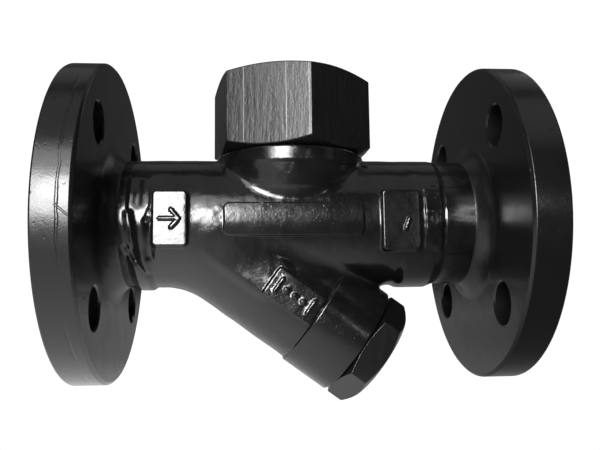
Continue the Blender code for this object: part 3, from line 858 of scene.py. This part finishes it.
def build_screen():
    """A perforated tube: rows of round holes, each row shifted by half a pitch."""
    outer, inner, low, high = 12.3, 11.6, -4.6, 36.9
    count, side = 30, 4
    pitch = 2 * math.pi / count
    cell_h = 2.15
    rows = int((31.6 - 0.4) / cell_h)
    hole = 0.72
    start = -0.4
    keys, points = {}, []

    def at(u, v):
        u = u % (count * side)
        key = (round(u * 1e4) % (count * side * 10000), round(v * 1e4))
        if key not in keys:
            keys[key] = len(points)
            points.append((u, v))
        return keys[key]

    sheet, rings = [], []
    for row in range(rows):
        shift = (row % 2) * side / 2
        v0 = start + row * cell_h
        for k in range(count):
            u0 = k * side + shift
            edge = [(u0 + j, v0) for j in range(side)] + [(u0 + side, v0 + cell_h * j / side) for j in range(side)]
            edge += [(u0 + side - j, v0 + cell_h) for j in range(side)]
            edge += [(u0, v0 + cell_h * (side - j) / side) for j in range(side)]
            centre_u, centre_v = u0 + side / 2, v0 + cell_h / 2
            scale = pitch * 12.0 / side
            ring = []
            for u, v in edge:
                a = math.atan2(v - centre_v, (u - centre_u) * scale)
                ring.append((centre_u + hole * math.cos(a) / scale, centre_v + hole * math.sin(a)))
            e = [at(*q) for q in edge]
            r = [at(*q) for q in ring]
            m = len(e)
            for i in range(m):
                j = (i + 1) % m
                sheet.append((e[i], e[j], r[j], r[i]))
            rings.append(r)
    margins = []
    for v0, v1 in ((low, start), (start + rows * cell_h, high)):
        for u in range(count * side):
            sheet.append((at(u, v0), at(u + 1, v0), at(u + 1, v1), at(u, v1)))
    flat = np.array(points)
    total = len(flat)
    theta = -flat[:, 0] / side * pitch
    shell = []
    for r in (outer, inner):
        shell.append(np.stack([r * np.cos(theta), r * np.sin(theta), flat[:, 1]], -1))
    faces = [tuple(f[::-1]) for f in sheet] + [tuple(i + total for i in f) for f in sheet]
    for r in rings:
        m = len(r)
        for i in range(m):
            j = (i + 1) % m
            faces.append((r[i], r[j], r[j] + total, r[i] + total)[::-1])
    for v, flip in ((low, False), (high, True)):
        for u in range(count * side):
            a, b = at(u, v), at(u + 1, v)
            f = (a, b, b + total, a + total)
            faces.append(f if flip else f[::-1])
    obj = place_mesh("perforated_screen", to_pipe(np.concatenate(shell), LEG), faces, STAINLESS, "screen",
                     ["strainer_screen"], weighted=False)
    shape = bmesh.new()
    shape.from_mesh(obj.data)
    bmesh.ops.recalc_face_normals(shape, faces=shape.faces)
    shape.to_mesh(obj.data)
    shape.free()
    obj.data.polygons.foreach_set("use_smooth", np.ones(len(obj.data.polygons), bool))
    obj.data.set_sharp_from_angle(angle=math.radians(40))


build_screen()


# ------------------------------------------------------------------ floor, light and camera
FLOOR_X = (-160, -60, 0, 60, 160)
FLOOR_Y = (-240, -115, -30, 45, 180)
FLOOR_GLOW = ((0.70, 0.50, 0.16, 0.05, 0.05),
              (0.80, 0.90, 0.20, 0.04, 0.04),
              (1.10, 1.50, 1.05, 0.10, 0.12),
              (1.20, 0.78, 0.58, 0.40, 0.75),
              (0.40, 0.25, 0.35, 0.25, 0.40))


def build_floor():
    """White floor; how strongly it lights the object varies from place to place, as it does beside a window."""
    mesh = bpy.data.meshes.new("floor")
    z = -61.75
    xs = [-6000, -1500] + list(np.arange(-500, 501, 25)) + [1500, 6000]
    points = [(x * MM, y * MM, z * MM) for y in xs for x in xs]
    n = len(xs)
    faces = [(j * n + i, j * n + i + 1, (j + 1) * n + i + 1, (j + 1) * n + i) for j in range(n - 1) for i in range(n - 1)]
    mesh.from_pydata(points, [], faces)
    glow = mesh.attributes.new("glow", "FLOAT", "POINT")
    table = np.array(FLOOR_GLOW)
    values = []
    for x, y, _ in points:
        row = np.array([np.interp(x / MM, FLOOR_X, r) for r in table])
        values.append(float(np.interp(y / MM, FLOOR_Y, row)))
    glow.data.foreach_set("value", values)
    floor = bpy.data.objects.new("floor", mesh)
    bpy.context.scene.collection.objects.link(floor)
    material = bpy.data.materials.new("white_floor")
    material.use_nodes = True
    tree = material.node_tree
    tree.nodes.clear()
    out = tree.nodes.new("ShaderNodeOutputMaterial")
    seen = tree.nodes.new("ShaderNodeEmission")
    seen.inputs["Strength"].default_value = 1.05
    lit = tree.nodes.new("ShaderNodeEmission")
    level = tree.nodes.new("ShaderNodeAttribute")
    level.attribute_name = "glow"
    tree.links.new(level.outputs["Fac"], lit.inputs["Strength"])
    path = tree.nodes.new("ShaderNodeLightPath")
    mix = tree.nodes.new("ShaderNodeMixShader")
    tree.links.new(path.outputs["Is Camera Ray"], mix.inputs["Fac"])
    tree.links.new(lit.outputs[0], mix.inputs[1])
    tree.links.new(seen.outputs[0], mix.inputs[2])
    tree.links.new(mix.outputs[0], out.inputs["Surface"])
    mesh.materials.append(material)


def build_world():
    world = bpy.data.worlds.new("studio")
    bpy.context.scene.world = world
    world.use_nodes = True
    tree = world.node_tree
    tree.nodes.clear()
    out = tree.nodes.new("ShaderNodeOutputWorld")
    seen = tree.nodes.new("ShaderNodeBackground")
    seen.inputs["Color"].default_value = (1, 1, 1, 1)
    seen.inputs["Strength"].default_value = 1.05
    lit = tree.nodes.new("ShaderNodeBackground")
    lit.inputs["Color"].default_value = (1, 1, 1, 1)
    lit.inputs["Strength"].default_value = 0.01
    path = tree.nodes.new("ShaderNodeLightPath")
    mix = tree.nodes.new("ShaderNodeMixShader")
    tree.links.new(path.outputs["Is Camera Ray"], mix.inputs["Fac"])
    tree.links.new(lit.outputs[0], mix.inputs[1])
    tree.links.new(seen.outputs[0], mix.inputs[2])
    tree.links.new(mix.outputs[0], out.inputs["Surface"])


def soft_light(name, left, right, low, high, radiance, distance=1.5):
    """A rectangular light facing the object, given by its edges in degrees: azimuth 0 is in front (-Y) and
    grows to the right, and elevation counts up from the floor's plane."""
    data = bpy.data.lights.new(name, "AREA")
    data.shape = "RECTANGLE"
    azimuth, elevation = math.radians((left + right) / 2), math.radians((low + high) / 2)
    data.size = 2 * distance * math.tan(math.radians(right - left) / 2)
    data.size_y = 2 * distance * math.tan(math.radians(high - low) / 2)
    data.energy = math.pi * data.size * data.size_y * radiance
    obj = bpy.data.objects.new(name, data)
    bpy.context.scene.collection.objects.link(obj)
    way = Vector((math.sin(azimuth) * math.cos(elevation), -math.cos(azimuth) * math.cos(elevation),
                  math.sin(elevation)))
    obj.location = way * distance
    obj.rotation_mode = "QUATERNION"
    obj.rotation_quaternion = (-way).to_track_quat("-Z", "Y")
    obj.visible_camera = False
    return obj


build_floor()
build_world()
soft_light("window_edge_left", -37, -27, 3, 23, 3.4)
soft_light("window_left", -27, -14, 3, 23, 28)
soft_light("window_right", -14, -4, 3, 23, 26)
soft_light("window_sill", -27, -3, -2, 3, 14)
soft_light("window_high", -40, -4, 23, 42, 4)
soft_light("window_edge_right", -4, 1, 0, 20, 1.5)
soft_light("small_right", 20, 24, 3, 10, 5)
soft_light("side_left", -140, -85, 0, 35, 0.45)
soft_light("side_right", 55, 72, 0, 35, 0.2)
soft_light("end_right", 80, 100, -8, 5, 0.25)
soft_light("top", -40, 40, 50, 90, 0.3)
soft_light("behind", 140, 215, 5, 45, 0.06)
soft_light("behind_right", 118, 140, 8, 45, 1.0)
soft_light("behind_high", 145, 215, 50, 78, 0.2)

camera = bpy.data.cameras.new("camera")
camera.sensor_width = 36.0
camera.lens = 37.34
camera.clip_start, camera.clip_end = 0.01, 50.0
cam = bpy.data.objects.new("camera", camera)
bpy.context.scene.collection.objects.link(cam)
right = Vector((0.99741973, -0.07072317, -0.01233388))
up = Vector((0.00458671, -0.10867491, 0.99406676))
back = right.cross(up)
cam.matrix_world = Matrix((
    (right.x, up.x, back.x, -15.267 * MM),
    (right.y, up.y, back.y, -232.371 * MM),
    (right.z, up.z, back.z, (-25.877 + PIPE_Z) * MM),
    (0, 0, 0, 1)))
bpy.context.scene.camera = cam
bpy.context.scene.view_settings.view_transform = "Standard"
bpy.context.scene.view_settings.look = "None"
